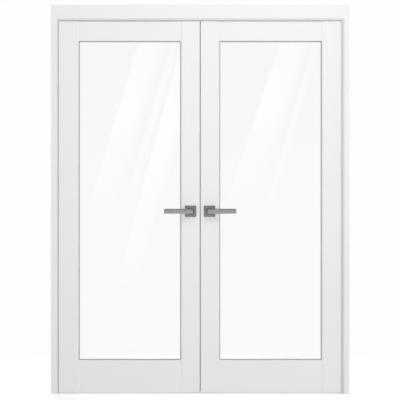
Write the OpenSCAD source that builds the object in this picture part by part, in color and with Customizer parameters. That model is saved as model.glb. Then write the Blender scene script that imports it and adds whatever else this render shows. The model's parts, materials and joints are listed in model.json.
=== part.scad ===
// A pair of glazed french doors in their own frame, drawn shut.
// x runs to the right along the front, y runs to the back and z runs up. The origin is on
// the floor, in the middle of the frame's width and of the leaves' thickness.
// Every paired piece is drawn for the right-hand side and mirrored for the left.

/* [Frame] */
// Width over both jambs
overall_w = 1634; // [1300:10:2000]
// Height from the floor to the top of the head
overall_h = 2130; // [1900:10:2500]
// Depth of the frame from front to back
frame_d = 56; // [50:1:120]
// Width of each jamb, seen from the front
jamb_w = 32; // [28:1:60]
// Height of the head jamb, seen from the front
head_h = 78; // [50:1:120]
// Width of the bevel round the frame's inner front edge
frame_bevel = 6; // [2:0.5:8]
// How far the stops stand out of the jambs
stop_w = 6.5; // [5:0.5:16]
// Depth of the stops from front to back
stop_d = 8; // [6:0.5:18]

/* [Gaps] */
// Gap between a leaf and the jamb or head
leaf_gap = 3; // [2:0.5:5]
// Gap between the two leaves
meeting_gap = 4; // [3:0.5:6]
// Gap between the leaves and the floor
undercut = 6; // [5:1:15]
// Gap between the stops and the stiles
stop_gap = 2; // [1:0.5:4]

/* [Leaves] */
// Thickness of a leaf
leaf_t = 40; // [36:1:50]
// Width of the stile on the hinge side
hinge_stile_w = 116; // [95:1:160]
// Width of the stile on the meeting side
lock_stile_w = 105; // [98:1:150]
// Height of the top rail
top_rail_h = 116; // [90:1:200]
// Height of the bottom rail
bottom_rail_h = 179; // [90:1:300]
// How far the rails lie behind the faces of the stiles
rail_set = 3; // [1:0.5:4]
// Width of the shallow bevel along the inner edges
edge_bevel = 7; // [4:0.5:7]
// Width of the steep bevel towards the glass
glass_bevel = 2; // [2:0.5:6.5]
// Chamfer on the outer edges of the stiles
arris = 2.5; // [0.5:0.5:2.5]
// Length of the rails' tenons
tenon_l = 45; // [25:1:45]
// Thickness of the rails' tenons
tenon_t = 12; // [8:1:16]

/* [Glazing] */
// Thickness of the lip in front of the glass
lip_t = 12; // [10:0.5:14]
// Width of the rebate that holds the glass
rebate_w = 14; // [14:0.5:20]
// Thickness of the glass
glass_t = 6; // [4:1:10]
// Gap between the glass and the bottom of its rebate
glass_play = 3; // [2:0.5:5]
// Thickness of the glazing seals
glazing_seal_t = 2; // [1:0.5:3]
// How far the glazing seals stand out round the glass
glazing_seal_show = 3; // [0:0.5:5]

/* [Hinges] */
// Height of a hinge
hinge_h = 100; // [75:1:125]
// Width of a hinge leaf, measured from the back of the door
hinge_leaf_w = 32; // [28:1:36]
// Thickness of a hinge leaf
hinge_leaf_t = 2.5; // [2:0.5:4]
// Radius of the hinge pin
pin_r = 3; // [2.5:0.1:3.5]
// Radius of the knuckles
knuckle_r = 6; // [5.5:0.1:8]
// From the bottom of the leaf to the middle of the lowest hinge
low_hinge = 280; // [150:5:350]
// From the top of the leaf to the middle of the highest hinge
high_hinge = 225; // [150:5:350]

/* [Levers] */
// Height of the levers above the floor
lever_z = 1000; // [900:5:1100]
// From the meeting edge of a leaf to the middle of its spindle
backset = 50; // [50:1:60]
// Length of a lever from the spindle to the tip
lever_l = 145; // [100:1:160]
// Length of the lever's heel beyond the spindle
lever_heel = 13; // [12.5:0.5:20]
// Height of the lever's bar
lever_h = 26; // [19:1:30]
// Thickness of the lever's bar
lever_t = 10; // [8:0.5:14]
// From the face of the stile to the outer face of the lever
lever_out = 60; // [45:1:70]
// Chamfer round the edges of the lever
lever_chamfer = 2.5; // [0.5:0.5:3]
// Radius of the lever's neck
neck_r = 9.5; // [9:0.5:12]
// Side of the square rosettes
rosette_w = 62; // [60:1:70]
// Thickness of the rosettes
rosette_t = 9; // [6:0.5:12]
// Side of the square spindle
spindle_w = 8; // [7:0.5:8]
// How far a lever turns
lever_swing = 45; // [30:1:45]

/* [Locks] */
// Radius of the arm that moves a bolt
arm_r = 16; // [15:0.5:18]
// Radius of the round nose of that arm
nose_r = 3; // [2.5:0.1:3.5]
// Radius of the hubs
hub_r = 10; // [9:0.5:10]
// Thickness of the lock cases
case_t = 16; // [14:0.5:18]
// Thickness of the walls of the lock cases
case_wall = 1.5; // [1:0.25:2]
// Width of the faceplates
faceplate_w = 22; // [20:1:24]
// Thickness of the faceplates
faceplate_t = 3; // [2:0.5:4]
// How far the latch bolt stands out of its leaf
latch_out = 11; // [8:0.5:11]
// Height of the latch bolt
latch_h = 16; // [12:0.5:16]
// Thickness of the latch bolt
latch_t = 11; // [8:0.5:11]
// How far the top bolt stands out of its leaf
top_bolt_out = 12; // [8:0.5:12]
// Radius of the top bolt's rod
rod_r = 4; // [3:0.5:4]
// From the meeting edge to the middle of the rod
rod_in = 13; // [12:0.5:14]

/* [Seals and screws] */
// Width of the seals along the stops
stop_seal_w = 3.5; // [2:0.5:5]
// Width of the seals in the meeting edges
meeting_seal_w = 5; // [3:0.5:5]
// Radius of the holes that fix the frame to the wall
fixing_r = 4; // [3:0.5:5]
// Number of fixing holes in a jamb
fixing_count = 4; // [2:1:6]
// Radius of the hinge screws' heads
screw_head_r = 4.2; // [3.5:0.1:4.5]
// Radius of the hinge screws' shanks
screw_r = 2; // [1.5:0.1:2.2]
// Length of the hinge screws
screw_l = 28; // [20:1:28]

/* [Hidden] */
$fn = 64;

LEFT = -1;
RIGHT = 1;
WHITE = "white";
STEEL = "silver";
NICKEL = "darkgray";
RUBBER = "lightgray";

cut = 1;             // how far a cutting solid runs past the face that it cuts
slip = 0.3;          // between pieces that slide past each other
fit_play = 0.1;      // round a shaft in its bearing, a pin or a screw
pocket_play = 0.2;   // round a piece in its pocket
pin_play = 0.05;     // round the hinge pins
seal_play = 0.4;     // between a seal and what it closes against

// places, for the right-hand side
y_front = leaf_t / 2 - frame_d;         // front of the frame
y_back = leaf_t / 2;                    // back of the frame and of the leaves
y_stop = -leaf_t / 2 - stop_gap;        // back of the stops
jamb_x = overall_w / 2 - jamb_w;        // inner face of the jamb
head_z = overall_h - head_h;            // underside of the head
edge_x = meeting_gap / 2;               // meeting edge of the leaf
hinge_x = jamb_x - leaf_gap;            // hinge edge of the leaf
leaf_z0 = undercut;
leaf_z1 = head_z - leaf_gap;

// the opening that shows glass
sight_x0 = edge_x + lock_stile_w;
sight_x1 = hinge_x - hinge_stile_w;
sight_z0 = leaf_z0 + bottom_rail_h;
sight_z1 = leaf_z1 - top_rail_h;
lip_edge = 2;                           // square edge of the lip next to the glass
rail_bevel_d = 2;                       // depth of the rails' shallow bevel
glass_y0 = -leaf_t / 2 + lip_t + glazing_seal_t;
glass_y1 = glass_y0 + glass_t;
bead_y0 = glass_y1 + glazing_seal_t;
bead_y1 = leaf_t / 2 - rail_set;
glazing_seal_w = 10;
mitre_gap = 0.1;                        // left at each end of a mitred bead
tenon_in = 20;                          // from the rail's edges to its tenon

// hinges
knuckles = 5;
knuckle_gap = 0.3;                      // between knuckles, along the pin
back_play = 0.5;                        // between the knuckles and the back of the door
pin_head_r = 5;
pin_head_t = 2;
axis_x = hinge_x + leaf_gap / 2;
axis_y = y_back + back_play + knuckle_r;
hinge_z = [
    leaf_z0 + low_hinge,
    (leaf_z0 + low_hinge + leaf_z1 - high_hinge) / 2,
    leaf_z1 - high_hinge
];
hinge_screw_y = [y_back - 8, y_back - 22];      // two columns of screws
hinge_screw_z = [0.38, 0.14];                   // as shares of the hinge's height

// levers
spindle_x = edge_x + backset;
bar_y = leaf_t / 2 + lever_out;                 // outer face of the bar
neck_y = leaf_t / 2 + 0.5;                      // inner end of the neck
socket_l = 40;                                  // depth of the spindle's socket
spindle_half = neck_y + socket_l - 1;           // from the middle to either end
grub_r = 2.5;
grub_l = neck_r - spindle_w / 2 - 0.7;
grub_y = leaf_t / 2 + rosette_t + 8;
rosette_chamfer = 1.5;
rosette_bolt = [21, -24];                       // from the spindle, mirrored in x
rosette_bolt_r = 2;
rosette_bolt_in = 5;                            // depth of the bolts in the rosettes

// hubs and bolts: the arm turns evenly to both sides of the bolt's mid-stroke
arm_w = 4.4;
arm_t = 8;
boss_r = 7.5;
spindle_hole_r = 9;
half_swing = lever_swing / 2;
stroke = 2 * arm_r * sin(half_swing);
fork_half = nose_r + slip;
fork_deep = arm_r + nose_r + slip;
fork_mouth = arm_r * cos(half_swing) - 1.3;     // open end of the fork, inside the nose
fork_wall = 5;

// right-hand latch, measured from the spindle
latch_z0 = fork_mouth;
latch_z1 = latch_z0 + latch_h;
latch_x0 = edge_x - latch_out;
latch_pin_x = spindle_x - arm_r * sin(half_swing);
latch_x1 = latch_pin_x + fork_half + fork_wall;
latch_flat = 2.5;                       // flat at the tip of the bevelled nose
strike_play = 0.75;                     // round the latch in the other leaf

// left-hand bolt carriage, measured from the spindle
fork_z = arm_r * sin(half_swing);
fork_x1 = spindle_x + fork_deep + fork_wall;
bridge_z0 = hub_r + stroke + 3;
bridge_h = 8;
bridge_x0 = edge_x + 9;

// lock cases, measured from the spindle
case_x0 = edge_x + faceplate_t;
case_z1 = max(latch_z1, bridge_z0 + bridge_h) + 4;
latch_case_z0 = -40;
latch_case_x1 = latch_x1 + stroke + 4;
bolt_case_z0 = -32;
bolt_case_x1 = fork_x1 + 3.5;

// faceplates
faceplate_down = 110;                   // below the spindle, and above it on the right
face_screw_l = 18;
face_screw_r = 1.4;
face_screw_head_r = 2.6;
face_screw_y = faceplate_w / 2 - 3.5;
face_screw_low = -95;                   // lowest screw, from the spindle
face_screw_mid = 65;                    // lowest screw above the left lock case
face_screw_high = leaf_z1 - lever_z - 25;
face_screw_pitch = (face_screw_high - face_screw_mid) / 4;
right_face_screws = [[0, face_screw_low], [0, -face_screw_low]];
left_face_screws = concat(
    [[face_screw_y, face_screw_low]],
    [for (i = [0:4]) [(i % 2 == 0 ? -1 : 1) * face_screw_y, face_screw_mid + i * face_screw_pitch]]
);
rod_x = edge_x + rod_in;
channel_half = rod_r + 0.5;
guide_l = 40;                           // bored guide at the top of the stile

// keeper in the head
keeper_l = 70;
keeper_w = 24;
keeper_t = 2.5;
keeper_play = 0.6;
keeper_screw = 26;                      // from the bolt to each screw

// seals
stop_y0 = y_stop - stop_d;              // front of the stops
stop_seal_y0 = stop_y0 + 1;             // a little behind the front of the stops
stop_seal_y1 = -leaf_t / 2 - seal_play;
meeting_seal_y = leaf_t / 2 - arris - meeting_seal_w;    // front of the seal
meeting_seal_groove = 4;

// fixings of the frame
screw_rim = 0.4;                        // straight edge of a countersunk head
screw_point = 2;                        // length of a screw's point
fixing_z0 = 150;                        // lowest fixing
fixing_z1 = head_z - 132;               // highest fixing
fixing_pitch = (fixing_z1 - fixing_z0) / (fixing_count - 1);
fixing_head_r = 9;
fixing_head_l = 12;
head_fixing_x = (edge_x + hinge_x) / 2;
head_fixing_l = 30;
corner_screw_l = 75;
corner_screw_r = 2.5;
corner_head_r = 5;
corner_screw_z = [24, 54];              // below the top of the frame
corner_screw_y = (y_front + y_back) / 2;

// ---- shared shapes -----------------------------------------------------------------

// the right-hand side as it is, or mirrored to the left
module on(side) {
    mirror([side == LEFT ? 1 : 0, 0, 0]) children();
}

// a box from its lowest to its highest corner
module span(low, high) {
    translate(low) cube(high - low);
}

// a flat outline in x and z, given its thickness from y0 to y1
module slab(points, y0, y1) {
    translate([0, y1, 0]) rotate([90, 0, 0]) linear_extrude(y1 - y0) polygon(points);
}

// an outline in y and z, drawn out along x
module beam(points, x0, x1) {
    translate([x0, 0, 0]) rotate([90, 0, 90]) linear_extrude(x1 - x0) polygon(points);
}

// a shaft or a bore along y
module y_rod(r, y0, y1) {
    translate([0, y1, 0]) rotate([90, 0, 0]) cylinder(h = y1 - y0, r = r);
}

// a box with chamfers on all its edges, centred
module chamfered_box(size, c) {
    function outline(a, b) = [
        [-a / 2 + c, -b / 2], [a / 2 - c, -b / 2], [a / 2, -b / 2 + c], [a / 2, b / 2 - c],
        [a / 2 - c, b / 2], [-a / 2 + c, b / 2], [-a / 2, b / 2 - c], [-a / 2, -b / 2 + c]
    ];
    intersection() {
        translate([0, 0, -size.z / 2]) linear_extrude(size.z) polygon(outline(size.x, size.y));
        slab(outline(size.x, size.z), -size.y / 2, size.y / 2);
        beam(outline(size.y, size.z), -size.x / 2, size.x / 2);
    }
}

// the hole for a countersunk screw, with its mouth at the origin and its depth down -z
module screw_hole(l, r, head_r) {
    hole_r = r + fit_play;
    rotate_extrude() polygon([
        [0, cut], [head_r + fit_play, cut], [head_r + fit_play, -screw_rim],
        [hole_r, -screw_rim - head_r + r], [hole_r, -l - fit_play], [0, -l - fit_play]
    ]);
}

// a countersunk screw for that hole, with its cross recess
module screw(l, r, head_r) {
    arm = head_r * 0.55;
    w = head_r * 0.13;
    difference() {
        rotate_extrude() polygon([
            [0, 0], [head_r, 0], [head_r, -screw_rim], [r, -screw_rim - head_r + r],
            [r, -l + screw_point], [0, -l]
        ]);
        translate([0, 0, -head_r * 0.4]) linear_extrude(head_r) polygon([
            [-arm, -w], [-w, -w], [-w, -arm], [w, -arm], [w, -w], [arm, -w],
            [arm, w], [w, w], [w, arm], [-w, arm], [-w, w], [-arm, w]
        ]);
    }
}

// ---- frame -------------------------------------------------------------------------

// a strip round the inside of the frame, from a to b mm off the jambs, mitred at the head
module side_strip(a, b, y0, y1) {
    slab([
        [jamb_x - b, 0], [jamb_x - a, 0], [jamb_x - a, head_z - a], [jamb_x - b, head_z - b]
    ], y0, y1);
}

module head_strip(a, b, y0, y1) {
    slab([
        [-jamb_x + a, head_z - a], [jamb_x - a, head_z - a],
        [jamb_x - b, head_z - b], [-jamb_x + b, head_z - b]
    ], y0, y1);
}

// what the bevel takes off the frame's inner front edge
module side_bevel() {
    intersection() {
        side_strip(-frame_bevel - cut, cut, y_front - cut, y_front + frame_bevel + cut);
        translate([0, 0, -cut]) linear_extrude(overall_h) polygon([
            [jamb_x - cut, y_front - cut],
            [jamb_x + frame_bevel + cut, y_front - cut],
            [jamb_x - cut, y_front + frame_bevel + cut]
        ]);
    }
}

module head_bevel() {
    intersection() {
        head_strip(-frame_bevel - cut, cut, y_front - cut, y_front + frame_bevel + cut);
        beam([
            [y_front - cut, head_z - cut],
            [y_front - cut, head_z + frame_bevel + cut],
            [y_front + frame_bevel + cut, head_z - cut]
        ], -overall_w / 2, overall_w / 2);
    }
}

// the holes that fix a jamb to the wall, with room for the screws' heads
module jamb_fixings() {
    for (i = [0:fixing_count - 1])
        translate([jamb_x, 0, fixing_z0 + i * fixing_pitch]) rotate([0, 90, 0]) {
            translate([0, 0, -cut]) cylinder(h = jamb_w + 2 * cut, r = fixing_r);
            translate([0, 0, -cut]) cylinder(h = fixing_head_l + cut, r = fixing_head_r);
        }
}

module head_fixings() {
    for (x = [-head_fixing_x, head_fixing_x]) translate([x, 0, head_z - cut]) {
        cylinder(h = head_h + 2 * cut, r = fixing_r);
        cylinder(h = head_fixing_l + cut, r = fixing_head_r);
    }
}

module at_corner_screws() {
    for (z = corner_screw_z)
        translate([overall_w / 2, corner_screw_y, overall_h - z]) rotate([0, 90, 0]) children();
}

module corner_screw_holes() {
    at_corner_screws() screw_hole(corner_screw_l, corner_screw_r, corner_head_r);
}

module jamb(side) {
    color(WHITE) on(side) difference() {
        span([jamb_x, y_front, 0], [overall_w / 2, y_back, overall_h]);
        side_bevel();
        head_bevel();
        frame_hinge_pockets();
        frame_hinge_screw_holes();
        jamb_fixings();
        corner_screw_holes();
    }
}

module head_jamb() {
    color(WHITE) difference() {
        span([-jamb_x, y_front, head_z], [jamb_x, y_back, overall_h]);
        head_bevel();
        head_fixings();
        for (side = [LEFT, RIGHT]) on(side) corner_screw_holes();
        on(LEFT) keeper_pocket();
    }
}

module frame_corner_screws() {
    color(STEEL) for (side = [LEFT, RIGHT]) on(side)
        at_corner_screws() screw(corner_screw_l, corner_screw_r, corner_head_r);
}

// ---- stops and their seals ---------------------------------------------------------

module stop(side) {
    color(WHITE) on(side) side_strip(0, stop_w, stop_y0, y_stop);
}

module head_stop() {
    color(WHITE) head_strip(0, stop_w, stop_y0, y_stop);
}

// the seals are stuck to the inner edges of the stops
module stop_seal(side) {
    color(RUBBER) on(side)
        side_strip(stop_w, stop_w + stop_seal_w, stop_seal_y0, stop_seal_y1);
}

module head_stop_seal() {
    color(RUBBER) head_strip(stop_w, stop_w + stop_seal_w, stop_seal_y0, stop_seal_y1);
}

// ---- hinges ------------------------------------------------------------------------

// one hinge leaf of each hinge: a plate from face_x, one way, with every other knuckle
module hinge_leaves(face_x, plate_x, first) {
    pitch = hinge_h / knuckles;
    x0 = min(face_x, plate_x);
    x1 = max(face_x, plate_x);
    for (z = hinge_z) difference() {
        union() {
            span([x0, y_back - hinge_leaf_w, z - hinge_h / 2], [x1, y_back, z + hinge_h / 2]);
            for (i = [first:2:knuckles - 1]) {
                low = z - hinge_h / 2 + i * pitch + knuckle_gap / 2;
                span([x0, y_back - cut, low], [x1, axis_y, low + pitch - knuckle_gap]);
                translate([axis_x, axis_y, low]) cylinder(h = pitch - knuckle_gap, r = knuckle_r);
            }
        }
        translate([axis_x, axis_y, z - hinge_h / 2 - cut])
            cylinder(h = hinge_h + 2 * cut, r = pin_r + pin_play);
        at_hinge_screws(z) translate([face_x, 0, 0]) rotate([0, face_x < plate_x ? -90 : 90, 0])
            screw_hole(screw_l, screw_r, screw_head_r);
    }
}

module at_hinge_screws(z) {
    for (i = [0:1], up = [-1, 1])
        translate([0, hinge_screw_y[i], z + up * hinge_screw_z[i] * hinge_h]) children();
}

module in_jamb() {
    for (z = hinge_z) at_hinge_screws(z) translate([jamb_x, 0, 0]) rotate([0, -90, 0]) children();
}

module in_leaf() {
    for (z = hinge_z) at_hinge_screws(z) translate([hinge_x, 0, 0]) rotate([0, 90, 0]) children();
}

module frame_hinge_pockets() {
    for (z = hinge_z)
        span([jamb_x - cut, y_back - hinge_leaf_w, z - hinge_h / 2],
             [jamb_x + hinge_leaf_t, y_back + cut, z + hinge_h / 2]);
}

module door_hinge_pockets() {
    for (z = hinge_z)
        span([hinge_x - hinge_leaf_t, y_back - hinge_leaf_w, z - hinge_h / 2],
             [hinge_x + cut, y_back + cut, z + hinge_h / 2]);
}

module frame_hinge_screw_holes() {
    in_jamb() screw_hole(screw_l, screw_r, screw_head_r);
}

module door_hinge_screw_holes() {
    in_leaf() screw_hole(screw_l, screw_r, screw_head_r);
}

module frame_hinge_leaves(side) {
    color(STEEL) on(side) hinge_leaves(jamb_x, jamb_x + hinge_leaf_t, 0);
}

module door_hinge_leaves(side) {
    color(STEEL) on(side) hinge_leaves(hinge_x, hinge_x - hinge_leaf_t, 1);
}

module hinge_pins() {
    color(STEEL) for (side = [LEFT, RIGHT]) on(side)
        for (z = hinge_z) translate([axis_x, axis_y, z - hinge_h / 2]) {
            cylinder(h = hinge_h + pin_head_t, r = pin_r);
            translate([0, 0, hinge_h]) cylinder(h = pin_head_t, r = pin_head_r);
        }
}

module hinge_screws(side) {
    color(STEEL) on(side) in_leaf() screw(screw_l, screw_r, screw_head_r);
}

// the hinge screws of both jambs and the two of the keeper
module frame_screws() {
    color(STEEL) {
        for (side = [LEFT, RIGHT]) on(side) in_jamb() screw(screw_l, screw_r, screw_head_r);
        on(LEFT) at_keeper_screws() screw(screw_l, screw_r, screw_head_r);
    }
}

// ---- keeper of the top bolt --------------------------------------------------------

module at_keeper_screws() {
    for (x = [-keeper_screw, keeper_screw])
        translate([rod_x + x, 0, head_z]) rotate([180, 0, 0]) children();
}

module keeper_holes() {
    at_keeper_screws() screw_hole(screw_l, screw_r, screw_head_r);
    translate([rod_x, 0, head_z - cut])
        cylinder(h = top_bolt_out + slip + cut, r = rod_r + keeper_play);
}

module keeper_pocket() {
    span([rod_x - keeper_l / 2, -keeper_w / 2, head_z - cut],
         [rod_x + keeper_l / 2, keeper_w / 2, head_z + keeper_t]);
    keeper_holes();
}

module bolt_keeper() {
    color(STEEL) on(LEFT) difference() {
        span([rod_x - keeper_l / 2, -keeper_w / 2, head_z],
             [rod_x + keeper_l / 2, keeper_w / 2, head_z + keeper_t]);
        keeper_holes();
    }
}

// ---- stiles and rails --------------------------------------------------------------

// section of a stile, from its outer edge at 0 to the glass at w
function stile_points(w) = [
    [0, -leaf_t / 2 + arris], [arris, -leaf_t / 2],
    [w - glass_bevel - edge_bevel, -leaf_t / 2], [w - glass_bevel, -leaf_t / 2 + rail_set],
    [w, -leaf_t / 2 + lip_t - lip_edge], [w, -leaf_t / 2 + lip_t],
    [w - rebate_w, -leaf_t / 2 + lip_t], [w - rebate_w, leaf_t / 2 - rail_set],
    [w - rebate_w - edge_bevel, leaf_t / 2], [arris, leaf_t / 2], [0, leaf_t / 2 - arris]
];

// section of a rail, from its outer edge at 0 to the glass at h
function rail_points(h) = [
    [-leaf_t / 2 + rail_set, 0], [-leaf_t / 2 + rail_set, h - glass_bevel - edge_bevel],
    [-leaf_t / 2 + rail_set + rail_bevel_d, h - glass_bevel],
    [-leaf_t / 2 + lip_t - lip_edge, h], [-leaf_t / 2 + lip_t, h],
    [-leaf_t / 2 + lip_t, h - rebate_w], [leaf_t / 2 - rail_set, h - rebate_w],
    [leaf_t / 2 - rail_set, 0]
];

module stile_solid(w, z0, z1) {
    translate([0, 0, z0]) linear_extrude(z1 - z0) polygon(stile_points(w));
}

// the stiles without their holes, in place
module hinge_stile_solid() {
    translate([hinge_x, 0, 0]) mirror([1, 0, 0]) stile_solid(hinge_stile_w, leaf_z0, leaf_z1);
}

module lock_stile_solid() {
    translate([edge_x, 0, 0]) stile_solid(lock_stile_w, leaf_z0, leaf_z1);
}

// both tenons of a rail whose edges are at z0 and z1
module tenons(z0, z1, play) {
    span([sight_x0 - rebate_w - tenon_l - play, -tenon_t / 2 - play, z0 + tenon_in - play],
         [sight_x1 + rebate_w + tenon_l + play, tenon_t / 2 + play, z1 - tenon_in + play]);
}

module mortises() {
    tenons(leaf_z0, sight_z0 - rebate_w, pocket_play);
    tenons(sight_z1 + rebate_w, leaf_z1, pocket_play);
}

// the front lips of the stiles, which the rails' ends are cut to fit over
module stile_lips() {
    intersection() {
        union() {
            hinge_stile_solid();
            lock_stile_solid();
        }
        span([sight_x0 - rebate_w, -leaf_t / 2 - cut, leaf_z0 - cut],
             [sight_x1 + rebate_w, -leaf_t / 2 + lip_t, leaf_z1 + cut]);
    }
}

module hinge_stile(side) {
    color(WHITE) on(side) difference() {
        hinge_stile_solid();
        mortises();
        door_hinge_pockets();
        door_hinge_screw_holes();
    }
}

module lock_stile(side) {
    color(WHITE) on(side) difference() {
        lock_stile_solid();
        mortises();
        meeting_seal_strip(edge_x - cut, leaf_z0 - cut, leaf_z1 + cut);
        translate([spindle_x, 0, lever_z])
            y_rod(spindle_hole_r, -leaf_t / 2 - cut, leaf_t / 2 + cut);
        rosette_bolt_holes();
        faceplate_pocket(side);
        case_pocket(side);
        face_screw_holes(side);
        if (side == LEFT) rod_channel();
    }
}

module top_rail(side) {
    color(WHITE) on(side) difference() {
        union() {
            translate([0, 0, leaf_z1]) mirror([0, 0, 1])
                beam(rail_points(top_rail_h), sight_x0 - rebate_w, sight_x1 + rebate_w);
            tenons(sight_z1 + rebate_w, leaf_z1, 0);
        }
        stile_lips();
    }
}

module bottom_rail(side) {
    color(WHITE) on(side) difference() {
        union() {
            translate([0, 0, leaf_z0])
                beam(rail_points(bottom_rail_h), sight_x0 - rebate_w, sight_x1 + rebate_w);
            tenons(leaf_z0, sight_z0 - rebate_w, 0);
        }
        stile_lips();
    }
}

// ---- glazing -----------------------------------------------------------------------

module sight_box(grow, y0, y1) {
    span([sight_x0 - grow, y0, sight_z0 - grow], [sight_x1 + grow, y1, sight_z1 + grow]);
}

module glass(side) {
    color("lightcyan", 0.4) on(side) sight_box(rebate_w - glass_play, glass_y0, glass_y1);
}

// one seal in front of the glass and one behind it
module glazing_seals(side) {
    color(RUBBER) on(side) for (y = [glass_y0 - glazing_seal_t, glass_y1]) difference() {
        sight_box(glazing_seal_w, y, y + glazing_seal_t);
        sight_box(-glazing_seal_show, y - cut, y + glazing_seal_t + cut);
    }
}

// a bead along x under the middle of the opening, mitred at both ends
module bead(half_l, half_h) {
    intersection() {
        slab([
            [-half_l + mitre_gap, -half_h], [half_l - mitre_gap, -half_h],
            [half_l - mitre_gap - rebate_w, -half_h + rebate_w],
            [-half_l + mitre_gap + rebate_w, -half_h + rebate_w]
        ], bead_y0, bead_y1);
        beam([
            [bead_y0, -half_h], [bead_y0, -half_h + rebate_w],
            [bead_y0 + lip_edge, -half_h + rebate_w],
            [bead_y1, -half_h + rebate_w - glass_bevel], [bead_y1, -half_h]
        ], -half_l, half_l);
    }
}

module glazing_beads(side) {
    half_w = (sight_x1 - sight_x0) / 2 + rebate_w;
    half_h = (sight_z1 - sight_z0) / 2 + rebate_w;
    color(WHITE) on(side)
        translate([(sight_x0 + sight_x1) / 2, 0, (sight_z0 + sight_z1) / 2])
            for (turn = [0, 180]) {
                rotate([0, turn, 0]) bead(half_w, half_h);
                rotate([0, turn + 90, 0]) bead(half_h, half_w);
            }
}

// ---- meeting edge: seals, faceplates and lock cases --------------------------------

module meeting_seal_strip(x0, z0, z1) {
    span([x0, meeting_seal_y, z0],
         [edge_x + meeting_seal_groove, meeting_seal_y + meeting_seal_w, z1]);
}

module meeting_seal(side) {
    color(RUBBER) on(side) meeting_seal_strip(seal_play / 2, leaf_z0, leaf_z1);
}

// the left faceplate covers the rod up to the top of the leaf
function face_z1(side) = side == LEFT ? leaf_z1 : lever_z + faceplate_down;
function face_screws(side) = side == LEFT ? left_face_screws : right_face_screws;

module faceplate_pocket(side) {
    span([edge_x - cut, -faceplate_w / 2, lever_z - faceplate_down],
         [edge_x + faceplate_t, faceplate_w / 2, face_z1(side) + (side == LEFT ? cut : 0)]);
}

module at_face_screws(side) {
    for (p = face_screws(side))
        translate([edge_x, p[0], lever_z + p[1]]) rotate([0, -90, 0]) children();
}

module face_screw_holes(side) {
    at_face_screws(side) screw_hole(face_screw_l, face_screw_r, face_screw_head_r);
}

// the way of the latch bolt, with a clearance all round it
module latch_way(play, x0, x1) {
    span([x0, -latch_t / 2 - play, lever_z + latch_z0 - play],
         [x1, latch_t / 2 + play, lever_z + latch_z1 + play]);
}

module faceplate(side) {
    color(NICKEL) on(side) difference() {
        span([edge_x, -faceplate_w / 2, lever_z - faceplate_down],
             [edge_x + faceplate_t, faceplate_w / 2, face_z1(side)]);
        latch_way(side == LEFT ? strike_play : slip, edge_x - cut, edge_x + faceplate_t + cut);
        face_screw_holes(side);
    }
}

module faceplate_screws(side) {
    color(STEEL) on(side)
        at_face_screws(side) screw(face_screw_l, face_screw_r, face_screw_head_r);
}

function case_z0(side) = side == LEFT ? bolt_case_z0 : latch_case_z0;
function case_x1(side) = side == LEFT ? bolt_case_x1 : latch_case_x1;

module case_box(side, grow) {
    x0 = case_x0 - (grow > 0 ? cut : grow);
    span([x0, -case_t / 2 - grow, lever_z + case_z0(side) - grow],
         [case_x1(side) + grow, case_t / 2 + grow, lever_z + case_z1 + grow]);
}

module case_pocket(side) {
    case_box(side, pocket_play);
}

// a thin box with bearings for the hub and ways for the bolts
module lock_case(side) {
    color(STEEL) on(side) difference() {
        case_box(side, 0);
        case_box(side, -case_wall);
        translate([spindle_x, 0, lever_z])
            y_rod(boss_r + fit_play, -case_t / 2 - cut, case_t / 2 + cut);
        latch_way(side == LEFT ? strike_play : slip, case_x0 - cut, case_x0 + case_wall + cut);
        rosette_bolt_holes();
        if (side == LEFT) translate([rod_x, 0, lever_z + case_z1 - case_wall - cut])
            cylinder(h = case_wall + 2 * cut, r = rod_r + fit_play);
    }
}

// the groove behind the left faceplate, and the guide bored above it
module rod_channel() {
    span([edge_x + faceplate_t - cut, -channel_half, lever_z + case_z1],
         [rod_x + channel_half, channel_half, leaf_z1 - guide_l]);
    translate([rod_x, 0, leaf_z1 - guide_l - cut])
        cylinder(h = guide_l + 2 * cut, r = rod_r + fit_play);
}

// ---- rosettes and levers -----------------------------------------------------------

// what is drawn for the front, in place on the spindle, or mirrored to the back
module at_spindle(face) {
    translate([spindle_x, 0, lever_z]) mirror([0, face == "back" ? 1 : 0, 0]) children();
}

module rosette_bolt_rods(r, half_l) {
    translate([spindle_x, 0, lever_z]) for (x = [-rosette_bolt[0], rosette_bolt[0]])
        translate([x, 0, rosette_bolt[1]]) y_rod(r, -half_l, half_l);
}

module rosette_bolt_holes() {
    rosette_bolt_rods(rosette_bolt_r + fit_play, leaf_t / 2 + cut);
}

module rosette_bolts(side) {
    color(STEEL) on(side) rosette_bolt_rods(rosette_bolt_r, leaf_t / 2 + rosette_bolt_in);
}

module rosette(side, face) {
    color(NICKEL) on(side) difference() {
        at_spindle(face) difference() {
            translate([0, -leaf_t / 2 - rosette_t / 2, 0])
                chamfered_box([rosette_w, rosette_t, rosette_w], rosette_chamfer);
            y_rod(neck_r + fit_play, -leaf_t / 2 - rosette_t - cut, -leaf_t / 2 + cut);
        }
        rosette_bolt_rods(rosette_bolt_r + fit_play, leaf_t / 2 + rosette_bolt_in + fit_play);
    }
}

module lever(side, face) {
    color(NICKEL) on(side) at_spindle(face) difference() {
        union() {
            translate([(lever_l - lever_heel) / 2, -bar_y + lever_t / 2, 0])
                chamfered_box([lever_l + lever_heel, lever_t, lever_h], lever_chamfer);
            y_rod(neck_r, -bar_y + lever_t - lever_chamfer, -neck_y);
        }
        span([-spindle_w / 2 - fit_play, -neck_y - socket_l, -spindle_w / 2 - fit_play],
             [spindle_w / 2 + fit_play, -neck_y + cut, spindle_w / 2 + fit_play]);
        translate([0, -grub_y, -neck_r - cut])
            cylinder(h = neck_r - spindle_w / 2 + 2 * cut, r = grub_r + fit_play);
    }
}

module spindle(side) {
    color(STEEL) on(side) translate([spindle_x, 0, lever_z])
        span([-spindle_w / 2, -spindle_half, -spindle_w / 2],
             [spindle_w / 2, spindle_half, spindle_w / 2]);
}

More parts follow.
